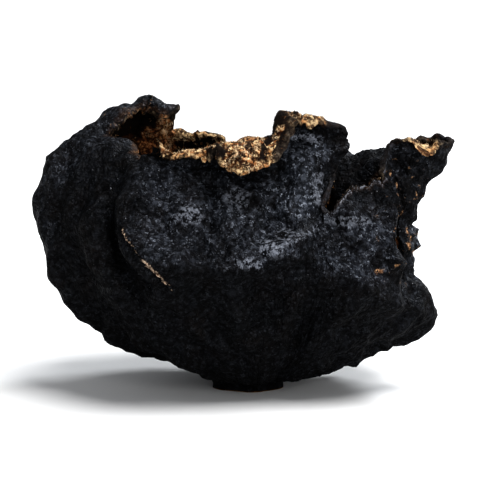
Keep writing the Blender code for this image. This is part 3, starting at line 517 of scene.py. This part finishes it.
# and as a painted highlight along the flap's edge
flap_edge = along_stations([0] * 14 + [0.6, 1, 1, 0.6] + [0] * 14)[:, None]
painted_glint = np.maximum(painted_glint, 0.9 * flap_edge * smooth01(1.3 - edge / 0.45))
# a painted highlight along the ridge of the fold across the panel, with painted shade just above it
fold_x = np.array([1.2, 4.5, 7.5, 10.0, 12.8])
fold_h = np.interp(view_x, fold_x, [22.4, 24.0, 25.8, 27.7, 29.8]) + 0.5 * noise(P / 1.7 + 67)
on_fold = smooth01((view_x - 0.2) / 2.0) * smooth01((13.4 - view_x) / 1.0) * front
painted_glint = np.maximum(painted_glint, 0.62 * on_fold * np.exp(-((view_h - fold_h) / 0.42) ** 2))
bloom_and_sheen = bloom_and_sheen * (1 - 0.75 * on_fold * np.exp(-((view_h - fold_h - 1.7) / 1.0) ** 2))
# painted shade: none of the bloom on the part of the back wall that rolls in
rolled = along_stations([0] * 21 + [0.6, 1, 1, 0.6] + [0] * 7)[:, None] * smooth01((14 - edge) / 3)
bloom_and_sheen = bloom_and_sheen * (1 - 0.95 * rolled)
# brown wear on the hood's crest and the horn's point
worn_hood = smooth01(1.5 - np.abs(edge - 0.5) / 2.6) * smooth01(np.clip(along_stations([0]*27 + [0.5, 0.9, 1, 0.8, 0.4])[:, None] * 1.5, 0, 1))

# outer skin: leathery creases, long wrinkles that run up from the stub
away = smooth01(s / 6)
rr = 30 * np.stack([np.cos(station / len(PROFILES) * 2 * np.pi), np.sin(station / len(PROFILES) * 2 * np.pi)], -1)[:, None] + 0 * P[..., :2]
runs = noise(np.concatenate([rr / 1.1, (s / 13)[..., None]], -1) + 3.3)
runs2 = noise(np.concatenate([rr / 2.6, (s / 17)[..., None]], -1) + 13.7)
wl = P + 1.2 * np.stack([noise(P / 3.0 + k) for k in (3, 17, 29)], -1)
r_a = ridged(wl * [1 / 3.6, 1 / 3.6, 1 / 5.2] + 1.7)
r_b = ridged(wl * [1 / 1.7, 1 / 1.7, 1 / 3.2] + 5.1)
r_c = ridged(wl * [1 / 0.9, 1 / 0.9, 1 / 1.5] + 9.9)
stub_runs = np.exp(-s / 14)
patch = smooth01(0.5 + 1.6 * noise(P / 8 + 71))     # some parts are smooth, others finely creased
crumbs = ridged(wl * [1 / 1.9, 1 / 1.9, 1 / 5.5] + 51.0)
crumbs2 = noise(P / 0.9 + 57.0)
out_disp = away * (0.38 * r_a + (0.06 + 0.17 * patch) * r_b + (0.03 + 0.08 * patch) * r_c
                   + 0.25 * runs * (0.3 + 1.6 * stub_runs) + 0.25 * runs2)
cx, ch = np.array([-22.0, -17.8, -14.1]), np.array([26.5, 20.8, 17.2])
crack, side_ = np.full(s.shape, 9.0), np.zeros(s.shape)
steep = np.maximum(1, 0.65 / np.clip(-normals(P + N * (half + out_disp)[..., None])[..., 1], 0.08, 1))
for k in range(2):
    dx, dh = cx[k + 1] - cx[k], ch[k + 1] - ch[k]
    wx = view_x + 0.5 * noise(P / 1.6 + 91)
    t = np.clip(((wx - cx[k]) * dx + (view_h - ch[k]) * dh) / (dx * dx + dh * dh), 0, 1)
    r_ = np.hypot(wx - cx[k] - t * dx, view_h - ch[k] - t * dh) * steep + 3 * (P[..., 1] > -6)
    side_ = np.where(r_ < crack, np.sign((wx - cx[k]) * dh - (view_h - ch[k]) * dx), side_)
    crack = np.minimum(crack, r_)
out_disp = out_disp + np.where(side_ < 0, 0.5, -0.55) * np.exp(-(crack / 1.1) ** 2) * (crack < 8)
out_disp = out_disp + column * (0.75 * crumbs + 0.45 * crumbs2 - 0.2)
outer = P + N * (half + out_disp - 0.12)[..., None]
# its pale line ends where the skin turns to the side
crack = crack + 1.0 * smooth01((0.10 + normals(outer)[..., 1]) / 0.2)

# tan side: felt lumps and veins
f_a = ridged(wl / 4.2 + 22.1)
f_b = noise(P / 1.15 + 41.0)
f_c = noise(P / 0.6 + 61.0)
f_l = noise(P / 2.3 + 81.0)
lumpy = np.exp(-np.maximum(edge, 0) / 7)
in_disp = away * (0.25 * f_a + 0.5 * f_b + 0.3 * f_c + 0.9 * lumpy * f_l) * (1 - 0.8 * np.minimum(1.5 * curl, 1))
inner = P - N * (half + in_disp - 0.05)[..., None]

# margin: a thin torn lip between the two skins
RIM = 7
T = unit(P[:, -1] - P[:, -4])
rim = []
for k in range(1, RIM + 1):
    a = math.pi * k / (RIM + 1)
    w_out, w_in = 0.5 * (1 + math.cos(a)), 0.5 * (1 - math.cos(a))
    q = outer[:, -1] * w_out + inner[:, -1] * w_in + T * (half[:, -1] * 0.95 * math.sin(a))[:, None]
    q = q + T * (0.14 * noise(q / 0.5 + 7) * math.sin(a))[:, None]
    rim.append(q)
rim = np.stack(rim, 1)

# stub and cut
waist = 0.5 * (outer[:, 0] + outer[:, 0] * [CUT_TAPER, CUT_TAPER, 0]) * [0.97, 0.97, 1]
cutr = outer[:, 0] * [CUT_TAPER, CUT_TAPER, 0]
flat = [cutr * (1 - 0.35 * k) for k in (2, 1, 0)]
low = [cutr * 0.6 + waist * 0.4, waist, waist * 0.5 + outer[:, 0] * 0.5]
ext = np.stack(flat + low, 1)
n_ext = ext.shape[1]
full = np.concatenate([ext, outer], 1)


def pad(v, first):
    return np.concatenate([np.full((AROUND, n_ext), float(first)), v], 1)


attrs = {
    "margin": pad(edge, 60.0).ravel(),
    "run": pad(s, 0.0).ravel(),
    "relief": pad(0.5 + 0.5 * np.clip(0.5 * r_a + 0.5 * r_b, -1, 1), 0.5).ravel(),
    "pale": pad(pale[:, None] + 0 * s, 0.0).ravel(),
    "worn": pad(np.maximum(column, 0.85 * worn_hood), 0.0).ravel(),
    "bloom_and_sheen": pad(bloom_and_sheen, 0.3).ravel(),
    "painted_glint": pad(painted_glint, 0.0).ravel(),
    "fleck": pad(fleck, 0.0).ravel(),
    "crumb": pad(0.5 + 0.5 * np.clip(0.7 * crumbs + crumbs2, -1, 1), 0.0).ravel(),
    "crack": pad(crack, 9.0).ravel(),
    "up": pad(np.clip(0.5 + 0.9 * normals(outer)[..., 2], 0, 1), 0.0).ravel(),
    "cut": np.concatenate([np.ones((AROUND, 3)), np.zeros((AROUND, n_ext - 3)), np.zeros_like(s)], 1).ravel(),
}
skin = grid_object("outer_skin", full, attrs, flip=True, close=[(0, [0.0, 0.0, 0.0], True)])

# the tan side with the lip, from the margin's outer edge round to the hollow's middle
inner_full = np.concatenate([outer[:, -1:], rim, inner[:, ::-1]], 1)
z = np.zeros((AROUND, 1 + RIM))
lip_t = np.linspace(0, 1, 1 + RIM)[None] + z
attrs = {
    "margin": np.concatenate([-1 + lip_t, edge[:, ::-1]], 1).ravel(),
    "run": np.concatenate([L[:, None] + z, s[:, ::-1]], 1).ravel(),
    "relief": np.concatenate([0.5 + z, (0.5 + 0.5 * np.clip(0.3 * f_a + 0.9 * f_b + 1.2 * f_c + 0.8 * lumpy * f_l, -1, 1))[:, ::-1]], 1).ravel(),
    "pale": (pale[:, None] + np.zeros((AROUND, inner_full.shape[1]))).ravel(),
    "tanned": np.concatenate([tanned[:, -1:] + z, tanned[:, ::-1]], 1).ravel(),
    "lit_red_felt": np.concatenate([lit_red_felt[:, -1:] + z, lit_red_felt[:, ::-1]], 1).ravel(),
    "fast": (fast + np.zeros((AROUND, inner_full.shape[1]))).ravel(),
}
felt = grid_object("tan_side", inner_full, attrs, flip=True, close=[(inner_full.shape[1] - 1, inner[:, 0].mean(0) - [0, 0, 0.15], False)])


# ---- felt fibres on the tan side ----

Ni = -normals(inner)                       # points to the tan side


def felt_roots(count, seed, lo, hi, power=1.0):
    """Random spots on the tan side, more of them towards the margin; u, v in grid steps."""
    r = np.random.RandomState(seed)
    # cell areas for an even spread
    du = np.linalg.norm(np.roll(inner, -1, 0) - inner, axis=2)[:, :-1]
    dv = np.linalg.norm(np.diff(inner, axis=1), axis=2)
    area = du * dv
    w = area * smooth01((edge[:, :-1] - lo) / 0.3 + 1) * (0.25 + 0.75 * np.exp(-np.maximum(edge[:, :-1], 0) / hi)) ** power
    cum = np.cumsum(w.ravel())
    pick = np.searchsorted(cum, r.rand(count) * cum[-1])
    i, j = pick // (ALONG - 1), pick % (ALONG - 1)
    fu, fv = r.rand(count)[:, None], r.rand(count)[:, None]
    k = (i + 1) % AROUND
    p = (inner[i, j] * (1 - fu) + inner[k, j] * fu) * (1 - fv) + (inner[i, j + 1] * (1 - fu) + inner[k, j + 1] * fu) * fv
    return p, unit(Ni[i, j]), edge[i, j] * (1 + 5 * fast[i, 0]), r, tanned[i, j], lit_red_felt[i, j]


FIBRES = []
for part in range(3):
    p, n, e, r, dark, red = felt_roots(56000, 100 + part, 0.2, 16.0)
    clump = 1.3 * noise(p / 1.15 + 41.0) + 1.5 * noise(p / 0.6 + 61.0) + 0.6 * noise(p / 2.1 + 85.0)
    # fibres darker further from the margin: partly the felt's own browner tone, partly painted shade deep in the hollow
    tint = np.clip(0.27 + 1.9 * clump + 0.18 * r.normal(size=len(p)) - 0.35 * smooth01((e - 4) / 18) - 0.9 * (1 - dark), 0, 1)
    # paler fibres in the hood's reddish patch: painted light
    tint = tint * (1 - red) + np.clip(0.5 + 0.5 * clump, 0.1, 0.9) * red
    length = (0.20 + 0.26 * r.rand(len(p))) * (0.8 + 0.8 * np.clip(clump + 0.2, 0, 1))
    width = 0.04 + 0.035 * r.rand(len(p))
    bend = 0.5 + 1.1 * r.rand(len(p))
    FIBRES.append(fibres("felt_fibres_%d" % (part + 1), p, n, length, width, bend, tint, 200 + part))


# ---- materials ----

def new_material(name):
    m = bpy.data.materials.new(name)
    m.use_nodes = True
    nt = m.node_tree
    return m, nt, nt.nodes["Principled BSDF"]


def node(nt, kind, **props):
    n = nt.nodes.new(kind)
    for k, v in props.items():
        if k.startswith("in_"):
            key = k[3:]
            n.inputs[int(key) if key.isdigit() else key.replace("_", " ")].default_value = v
        else:
            setattr(n, k, v)
    return n


def mm_coords(nt):
    tc = node(nt, "ShaderNodeTexCoord")
    sc = node(nt, "ShaderNodeVectorMath", operation="SCALE")
    sc.inputs["Scale"].default_value = 1000.0
    nt.links.new(tc.outputs["Object"], sc.inputs[0])
    return sc.outputs[0]


def tex_noise(nt, vec, wavelength, detail=3.0, rough=0.55, distort=0.0, offset=None):
    mp = node(nt, "ShaderNodeMapping")
    if offset:
        mp.inputs["Location"].default_value = offset
    nt.links.new(vec, mp.inputs["Vector"])
    n = node(nt, "ShaderNodeTexNoise")
    n.inputs["Scale"].default_value = 1.0 / wavelength
    n.inputs["Detail"].default_value = detail
    n.inputs["Roughness"].default_value = rough
    n.inputs["Distortion"].default_value = distort
    nt.links.new(mp.outputs[0], n.inputs["Vector"])
    return n.outputs["Fac"]


def ramp(nt, fac, stops):
    r = node(nt, "ShaderNodeValToRGB")
    el = r.color_ramp.elements
    el[0].position, el[0].color = stops[0]
    el[1].position, el[1].color = stops[-1]
    for pos, col in stops[1:-1]:
        e = el.new(pos)
        e.color = col
    nt.links.new(fac, r.inputs["Fac"])
    return r.outputs["Color"]


def mix(nt, fac, a, b, blend="MIX"):
    m = node(nt, "ShaderNodeMix", data_type="RGBA", blend_type=blend)
    for sock, v in (("Factor", fac), ("A", a), ("B", b)):
        s_ = m.inputs[sock] if sock == "Factor" else [x for x in m.inputs if x.name == sock and x.type == "RGBA"][0]
        if isinstance(v, (int, float, tuple)):
            s_.default_value = v
        else:
            nt.links.new(v, s_)
    return [o for o in m.outputs if o.type == "RGBA"][0]


def math_(nt, op, a, b=None, clamp=False):
    m = node(nt, "ShaderNodeMath", operation=op, use_clamp=clamp)
    for i, v in enumerate((a, b)):
        if v is None:
            continue
        if isinstance(v, (int, float)):
            m.inputs[i].default_value = v
        else:
            nt.links.new(v, m.inputs[i])
    return m.outputs[0]


def map_range(nt, v, a, b, c=0.0, d=1.0, smooth=True):
    m = node(nt, "ShaderNodeMapRange", interpolation_type="SMOOTHSTEP" if smooth else "LINEAR")
    for k, x in (("From Min", a), ("From Max", b), ("To Min", c), ("To Max", d)):
        m.inputs[k].default_value = x
    nt.links.new(v, m.inputs["Value"])
    return m.outputs["Result"]


def attribute(nt, name):
    return node(nt, "ShaderNodeAttribute", attribute_name=name).outputs["Fac"]


def rgb(r, g, b):
    """sRGB 0-255 to the shader's linear colour."""
    f = lambda c: (c / 255 / 12.92) if c <= 10 else ((c / 255 + 0.055) / 1.055) ** 2.4
    return (f(r), f(g), f(b), 1.0)


def voronoi(nt, vec, size, feature="F1", rand=1.0, smooth=None):
    n = node(nt, "ShaderNodeTexVoronoi", feature=feature)
    n.inputs["Scale"].default_value = 1.0 / size
    n.inputs["Randomness"].default_value = rand
    nt.links.new(vec, n.inputs["Vector"])
    return n.outputs["Distance"]


def warped(nt, vec, wavelength, amount):
    """Coordinates pushed about by a noise, so that cells don't look ruled."""
    n = node(nt, "ShaderNodeTexNoise")
    n.inputs["Scale"].default_value = 1.0 / wavelength
    n.inputs["Detail"].default_value = 2.0
    nt.links.new(vec, n.inputs["Vector"])
    a = node(nt, "ShaderNodeVectorMath", operation="SUBTRACT")
    nt.links.new(n.outputs["Color"], a.inputs[0])
    a.inputs[1].default_value = (0.5, 0.5, 0.5)
    b = node(nt, "ShaderNodeVectorMath", operation="SCALE")
    b.inputs["Scale"].default_value = amount
    nt.links.new(a.outputs[0], b.inputs[0])
    c = node(nt, "ShaderNodeVectorMath", operation="ADD")
    nt.links.new(vec, c.inputs[0])
    nt.links.new(b.outputs[0], c.inputs[1])
    return c.outputs[0]


# black side: dried skin, nearly black, with a blue-grey bloom that lies in fine broken specks on whatever stands out;
# the bloom is partly painted sheen and glints, strongest where the skin faces up, and the skin is painted darker in its
# creases and where it faces down
m_skin, nt, bsdf = new_material("wood_ear_black_skin")
v = mm_coords(nt)
broad = tex_noise(nt, v, 13.0, 4.0, 0.6, 0.4)
mid = tex_noise(nt, v, 2.8, 4.0, 0.62, 0.2, (5, 2, 9))
grain = tex_noise(nt, v, 0.75, 3.0, 0.7, 0.0, (1, 7, 3))
fine = tex_noise(nt, v, 0.30, 2.0, 0.6, 0.0, (8, 1, 1))
w = warped(nt, v, 1.4, 1.1)
cells = voronoi(nt, w, 1.15, "DISTANCE_TO_EDGE")
cells_fine = voronoi(nt, w, 0.5, "DISTANCE_TO_EDGE")
relief, up = attribute(nt, "relief"), attribute(nt, "up")
base = ramp(nt, mid, [(0.25, rgb(3, 3, 4)), (0.5, rgb(8, 9, 11)), (0.78, rgb(23, 25, 30))])
brown = ramp(nt, tex_noise(nt, v, 5.0, 3.0, 0.6, 0.3, (11, 4, 1)), [(0.45, rgb(10, 10, 12)), (0.75, rgb(30, 22, 16))])
col = mix(nt, 0.35, base, brown)
# painted shade: the skin is darker in its creases and where it faces down
col = mix(nt, map_range(nt, cells, 0.0, 0.16, 0.6, 0.0), col, rgb(5, 5, 6))
col = mix(nt, map_range(nt, up, 0.45, 0.1, 0.0, 0.6), col, rgb(4, 4, 5))
# veil of bloom, then its specks: partly the real grey bloom, partly painted sheen and glints, strongest on raised parts
# that face up
patchy = math_(nt, "MULTIPLY", attribute(nt, "bloom_and_sheen"), map_range(nt, broad, 0.34, 0.56, 0.35, 1.0))
raised = math_(nt, "MULTIPLY", map_range(nt, relief, 0.30, 0.75, 0.2, 1.0), map_range(nt, up, 0.36, 0.72, 0.06, 1.0))
veil = math_(nt, "MULTIPLY", math_(nt, "MULTIPLY", patchy, raised), map_range(nt, mid, 0.32, 0.7, 0.6, 1.0))
col = mix(nt, math_(nt, "MULTIPLY", veil, 0.38), col, rgb(50, 54, 62))
mott = tex_noise(nt, v, 0.95, 3.0, 0.62, 0.2, (7, 7, 2))
mottle = math_(nt, "MULTIPLY", map_range(nt, mott, 0.49, 0.64), math_(nt, "ADD", math_(nt, "MULTIPLY", veil, 0.8), 0.06))
col = mix(nt, math_(nt, "MULTIPLY", mottle, 0.62), col, rgb(94, 99, 109))
col = mix(nt, map_range(nt, mott, 0.47, 0.34, 0.0, 0.8), col, rgb(4, 4, 5))
specks = math_(nt, "MULTIPLY", map_range(nt, grain, 0.52, 0.64), map_range(nt, fine, 0.44, 0.58))
specks = math_(nt, "MULTIPLY", specks, math_(nt, "ADD", math_(nt, "MULTIPLY", veil, 0.95), 0.05))
col = mix(nt, math_(nt, "MULTIPLY", specks, 0.85, True), col, rgb(150, 156, 167))
# pale specks on raised parts that face up: partly dust, partly painted glints
dust_and_glints = math_(nt, "MULTIPLY", map_range(nt, tex_noise(nt, v, 0.36, 1.0, 0.5, 0.0, (3, 3, 8)), 0.76, 0.80), raised)
col = mix(nt, math_(nt, "MULTIPLY", dust_and_glints, 0.5), col, rgb(170, 172, 178))
# painted highlights, in their patches, along the flap's edge and on the fold
painted_glint_shown = math_(nt, "MULTIPLY", attribute(nt, "painted_glint"), map_range(nt, math_(nt, "ADD", mott, math_(nt, "MULTIPLY", math_(nt, "SUBTRACT", fine, 0.5), 0.5)), 0.44, 0.60))
col = mix(nt, math_(nt, "MULTIPLY", painted_glint_shown, 0.66), col, rgb(146, 150, 160))
# worn brown on the crumbled fold, and brown towards the margin with a pale torn edge
m_edge, pale_a, crumb = attribute(nt, "margin"), attribute(nt, "pale"), attribute(nt, "crumb")
worn = math_(nt, "MULTIPLY", attribute(nt, "worn"), map_range(nt, math_(nt, "ADD", crumb, math_(nt, "MULTIPLY", math_(nt, "SUBTRACT", grain, 0.5), 1.5)), 0.98, 1.16))
tan = ramp(nt, grain, [(0.3, rgb(42, 28, 20)), (0.5, rgb(86, 58, 38)), (0.7, rgb(174, 134, 94))])
col = mix(nt, worn, col, tan)
flecks = math_(nt, "MULTIPLY", attribute(nt, "fleck"), map_range(nt, grain, 0.40, 0.54))
col = mix(nt, math_(nt, "MULTIPLY", flecks, 0.92), col, ramp(nt, fine, [(0.35, rgb(92, 56, 34)), (0.62, rgb(214, 168, 126))]))
jag = math_(nt, "ADD", m_edge, math_(nt, "MULTIPLY", math_(nt, "SUBTRACT", grain, 0.5), 1.8))
near = math_(nt, "MULTIPLY", map_range(nt, jag, 0.1, 1.1, 1.0, 0.0), pale_a)
col = mix(nt, math_(nt, "MULTIPLY", near, 0.9), col, tan)
crack = math_(nt, "ADD", attribute(nt, "crack"), math_(nt, "MULTIPLY", math_(nt, "SUBTRACT", grain, 0.5), 1.4))
line = math_(nt, "MULTIPLY", map_range(nt, crack, 0.10, 0.40, 1.0, 0.0), map_range(nt, mid, 0.36, 0.46))
col = mix(nt, line, col, ramp(nt, fine, [(0.35, rgb(112, 82, 62)), (0.6, rgb(220, 196, 172))]))
wood = ramp(nt, tex_noise(nt, v, 0.8, 4.0, 0.65, 0.0, (2, 9, 9)), [(0.3, rgb(52, 32, 18)), (0.7, rgb(140, 102, 64))])
col = mix(nt, map_range(nt, attribute(nt, "cut"), 0.4, 0.9), col, wood)
nt.links.new(col, bsdf.inputs["Base Color"])
rough = math_(nt, "ADD", map_range(nt, mott, 0.35, 0.65, 0.60, 0.40, False), map_range(nt, up, 0.45, 0.1, 0.0, 0.25), True)
nt.links.new(rough, bsdf.inputs["Roughness"])
bsdf.inputs["Specular IOR Level"].default_value = 0.05
bump = node(nt, "ShaderNodeBump")
bump.inputs["Strength"].default_value = 0.9
bump.inputs["Distance"].default_value = 0.00022
hgt = math_(nt, "ADD", map_range(nt, cells, 0.0, 0.30, 0.0, 0.9), map_range(nt, cells_fine, 0.0, 0.35, 0.0, 0.35))
hgt = math_(nt, "ADD", hgt, math_(nt, "ADD", math_(nt, "MULTIPLY", grain, 0.7), math_(nt, "MULTIPLY", fine, 0.4)))
nt.links.new(hgt, bump.inputs["Height"])
nt.links.new(bump.outputs[0], bsdf.inputs["Normal"])

# tan side: matted felt, golden grains over dark brown pits, browner down in the hollow; the pits, low spots and the
# hollow's dark are partly painted shade, the cream on raised grains partly painted highlight, and the reddish felt in
# the hood is painted light
m_felt, nt, bsdf = new_material("wood_ear_tan_felt")
v = mm_coords(nt)
broad = tex_noise(nt, v, 7.0, 4.0, 0.6, 0.5, (4, 4, 4))
mid = tex_noise(nt, v, 1.7, 4.0, 0.65, 0.2, (6, 1, 2))
grain = tex_noise(nt, v, 0.5, 3.0, 0.7, 0.0, (9, 5, 3))
w = warped(nt, v, 0.9, 0.7)
cell = voronoi(nt, w, 0.95)
m_edge, pale_a, relief = attribute(nt, "margin"), attribute(nt, "pale"), attribute(nt, "relief")
below = math_(nt, "ADD", m_edge, math_(nt, "MULTIPLY", math_(nt, "MULTIPLY", attribute(nt, "fast"), 9.0), math_(nt, "MAXIMUM", m_edge, 0.0)))
col = ramp(nt, mid, [(0.30, rgb(74, 40, 20)), (0.44, rgb(126, 78, 42)), (0.56, rgb(180, 132, 84)), (0.74, rgb(228, 194, 148))])
reddish = tex_noise(nt, v, 5.0, 2.0, 0.5, 0.0, (2, 8, 5))
col = mix(nt, map_range(nt, reddish, 0.50, 0.66, 0.0, 0.6), col, rgb(158, 88, 42))
# darker down in the hollow, sooner on the back wall and in the hood: partly the felt's own browner tone, partly painted
# shade
deep = ramp(nt, broad, [(0.35, rgb(40, 22, 12)), (0.7, rgb(92, 56, 28))])
col = mix(nt, map_range(nt, math_(nt, "ADD", below, math_(nt, "MULTIPLY", broad, 8.0)), 12.0, 27.0, 0.0, 0.97), col, deep)
# the hood's reddish felt, pale enough to read as lit: painted light
lit_red_felt_mask = math_(nt, "MULTIPLY", attribute(nt, "lit_red_felt"), map_range(nt, mid, 0.36, 0.52))
col = mix(nt, math_(nt, "MULTIPLY", lit_red_felt_mask, 0.85), col, ramp(nt, grain, [(0.35, rgb(150, 70, 34)), (0.65, rgb(250, 176, 116))]))
# dark pits and low spots of the felt: partly its own dark flesh, partly painted shade
pit = math_(nt, "MULTIPLY", map_range(nt, cell, 0.32, 0.50), map_range(nt, grain, 0.68, 0.46))
col = mix(nt, math_(nt, "MULTIPLY", pit, 0.95), col, rgb(44, 22, 10))
col = mix(nt, math_(nt, "MULTIPLY", map_range(nt, relief, 0.50, 0.34), 0.97), col, rgb(34, 17, 9))
gap = map_range(nt, tex_noise(nt, v, 1.9, 2.0, 0.5, 0.3, (1, 5, 7)), 0.475, 0.425)
gap = math_(nt, "MULTIPLY", gap, map_range(nt, attribute(nt, "lit_red_felt"), 0.0, 1.0, 1.0, 0.35))
col = mix(nt, math_(nt, "MULTIPLY", gap, 0.96), col, rgb(24, 12, 7))
# cream on raised grains near the margin: partly paler felt, partly painted highlight
top = math_(nt, "MULTIPLY", math_(nt, "MULTIPLY", map_range(nt, relief, 0.50, 0.68), map_range(nt, m_edge, 12.0, 3.0)), map_range(nt, gap, 0.0, 1.0, 1.0, 0.1))
col = mix(nt, math_(nt, "MULTIPLY", math_(nt, "MULTIPLY", map_range(nt, grain, 0.49, 0.61), 0.9), top), col, rgb(252, 226, 178))
jag = math_(nt, "ADD", m_edge, math_(nt, "MULTIPLY", math_(nt, "SUBTRACT", grain, 0.5), 1.1))
gone = map_range(nt, math_(nt, "ADD", attribute(nt, "tanned"), math_(nt, "MULTIPLY", math_(nt, "SUBTRACT", mid, 0.5), 1.2)), 0.2, 0.65, 0.985, 0.0)
col = mix(nt, gone, col, rgb(20, 14, 11))
lip = math_(nt, "MULTIPLY", map_range(nt, jag, -0.95, -0.45), map_range(nt, jag, 0.9, 0.3))
lip_col = mix(nt, pale_a, ramp(nt, grain, [(0.42, rgb(15, 14, 16)), (0.62, rgb(50, 50, 54))]), ramp(nt, grain, [(0.38, rgb(78, 44, 22)), (0.60, rgb(236, 204, 156))]))
lip = math_(nt, "MULTIPLY", lip, map_range(nt, tex_noise(nt, v, 1.1, 2.0, 0.6, 0.0, (3, 1, 9)), 0.42, 0.58, 0.15, 0.85))
col = mix(nt, lip, col, lip_col)
# small dark gaps run on over the lip
lip_gap = math_(nt, "MULTIPLY", map_range(nt, tex_noise(nt, v, 0.9, 3.0, 0.65, 0.3, (8, 3, 2)), 0.47, 0.40), map_range(nt, pale_a, 0.3, 0.6))
col = mix(nt, math_(nt, "MULTIPLY", math_(nt, "MULTIPLY", lip_gap, map_range(nt, m_edge, 1.6, 0.9)), 0.93), col, rgb(40, 21, 11))
# the lip's outer edge belongs to the black skin
col = mix(nt, math_(nt, "MULTIPLY", map_range(nt, jag, -0.45, -0.9), 0.95), col, rgb(17, 16, 17))
nt.links.new(col, bsdf.inputs["Base Color"])
bsdf.inputs["Roughness"].default_value = 0.82
bsdf.inputs["Specular IOR Level"].default_value = 0.1
bump = node(nt, "ShaderNodeBump")
bump.inputs["Strength"].default_value = 0.9
bump.inputs["Distance"].default_value = 0.00025
nt.links.new(math_(nt, "ADD", math_(nt, "SUBTRACT", grain, math_(nt, "MULTIPLY", cell, 0.7)), math_(nt, "MULTIPLY", mid, 0.8)), bump.inputs["Height"])
nt.links.new(bump.outputs[0], bsdf.inputs["Normal"])

# fibres
m_fib, nt, bsdf = new_material("wood_ear_fibre")
col = ramp(nt, attribute(nt, "tint"), [(0.0, rgb(16, 9, 6)), (0.28, rgb(66, 37, 20)), (0.6, rgb(164, 116, 70)), (1.0, rgb(248, 222, 184))])
nt.links.new(col, bsdf.inputs["Base Color"])
bsdf.inputs["Roughness"].default_value = 0.75
bsdf.inputs["Specular IOR Level"].default_value = 0.1

for ob, m in [(skin, m_skin), (felt, m_felt)] + [(f, m_fib) for f in FIBRES]:
    ob.data.materials.append(m)
    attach(ob, "root")
    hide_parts("wood_ear")


# ---- floor, light, camera ----

def area(name, loc, target, size, watts, color=(1, 1, 1)):
    d = bpy.data.lights.new(name, "AREA")
    d.shape = "DISK"
    d.size = size
    d.energy = watts
    d.color = color
    o = bpy.data.objects.new(name, d)
    bpy.context.scene.collection.objects.link(o)
    o.location = loc
    o.rotation_euler = (Vector(target) - Vector(loc)).to_track_quat("-Z", "Y").to_euler()
    return o


bpy.ops.mesh.primitive_plane_add(size=6.0, location=(0, 0, 0))
floor = bpy.context.object
floor.name = "floor"
m_floor, nt, bsdf = new_material("floor_pale")
bsdf.inputs["Base Color"].default_value = (0.82, 0.82, 0.82, 1)
bsdf.inputs["Roughness"].default_value = 0.75
bsdf.inputs["Specular IOR Level"].default_value = 0.2
floor.data.materials.append(m_floor)

world = bpy.data.worlds.new("studio")
bpy.context.scene.world = world
world.use_nodes = True
world.node_tree.nodes["Background"].inputs["Color"].default_value = (0.95, 0.97, 1.0, 1)
world.node_tree.nodes["Background"].inputs["Strength"].default_value = 0.30

# one broad soft source high at the front left keeps the whole floor evenly pale
sun = bpy.data.lights.new("studio_key", "SUN")
sun.energy = 3.3
sun.angle = math.radians(30)
so = bpy.data.objects.new("studio_key", sun)
bpy.context.scene.collection.objects.link(so)
so.rotation_euler = (Vector((0, 0, 0)) - Vector((0.34, -0.30, 1.0))).to_track_quat("-Z", "Y").to_euler()

centre = (0.0, 0.0, 0.024)
area("skim", (0.20, 0.20, 0.26), centre, 0.12, 0.9, (0.94, 0.97, 1.0))
area("fill", (0.18, -0.44, 0.14), centre, 0.22, 0.75)

cam = bpy.data.cameras.new("camera")
cam.lens = 200.0
cam.sensor_width = 36.0
co = bpy.data.objects.new("camera", cam)
bpy.context.scene.collection.objects.link(co)
bpy.context.scene.camera = co
el = math.radians(10.0)
dist = 0.47
aim = Vector((0.0005, 0.0, 0.0235))
co.location = aim + Vector((0.0, -math.cos(el), math.sin(el))) * dist
co.rotation_euler = (aim - co.location).to_track_quat("-Z", "Y").to_euler()
bpy.context.scene.view_settings.view_transform = "Standard"
bpy.context.scene.view_settings.look = "Medium High Contrast"
